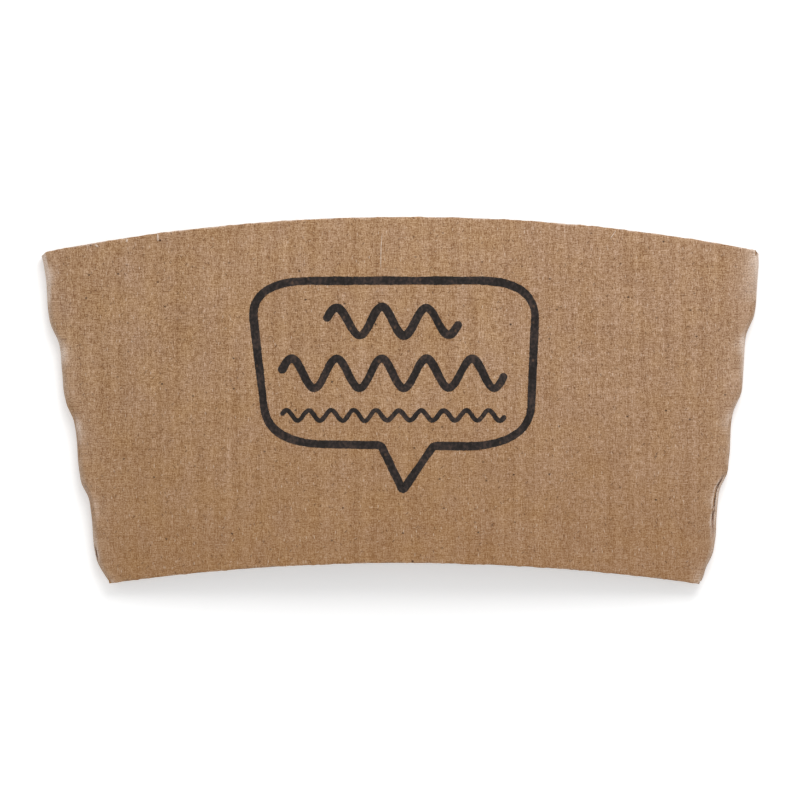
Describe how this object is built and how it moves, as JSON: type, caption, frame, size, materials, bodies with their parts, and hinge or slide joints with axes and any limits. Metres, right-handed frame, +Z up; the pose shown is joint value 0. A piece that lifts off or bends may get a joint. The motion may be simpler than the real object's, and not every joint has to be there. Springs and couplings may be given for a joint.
{
  "type": "coffee cup sleeve",
  "caption": "Corrugated kraft board sleeve for a takeaway coffee cup, folded flat at its creases, with a plain speech balloon printed on the front.",
  "frame": {"origin": "middle of the footprint, on the surface that the back panel lies on", "axes": "+X right across the printed face, +Y towards the wide curved edge, +Z up out of the printed face"},
  "size_m": [0.1252, 0.0638, 0.0103],
  "materials": {
    "kraft_board": "matte",
    "dark_ink": "matte"
  },
  "bodies": {
    "root": {"sleeve": "kraft_board", "printed_balloon": "dark_ink", "printed_wave_1": "dark_ink", "printed_wave_2": "dark_ink", "printed_wave_3": "dark_ink"}
  },
  "joints": []
}
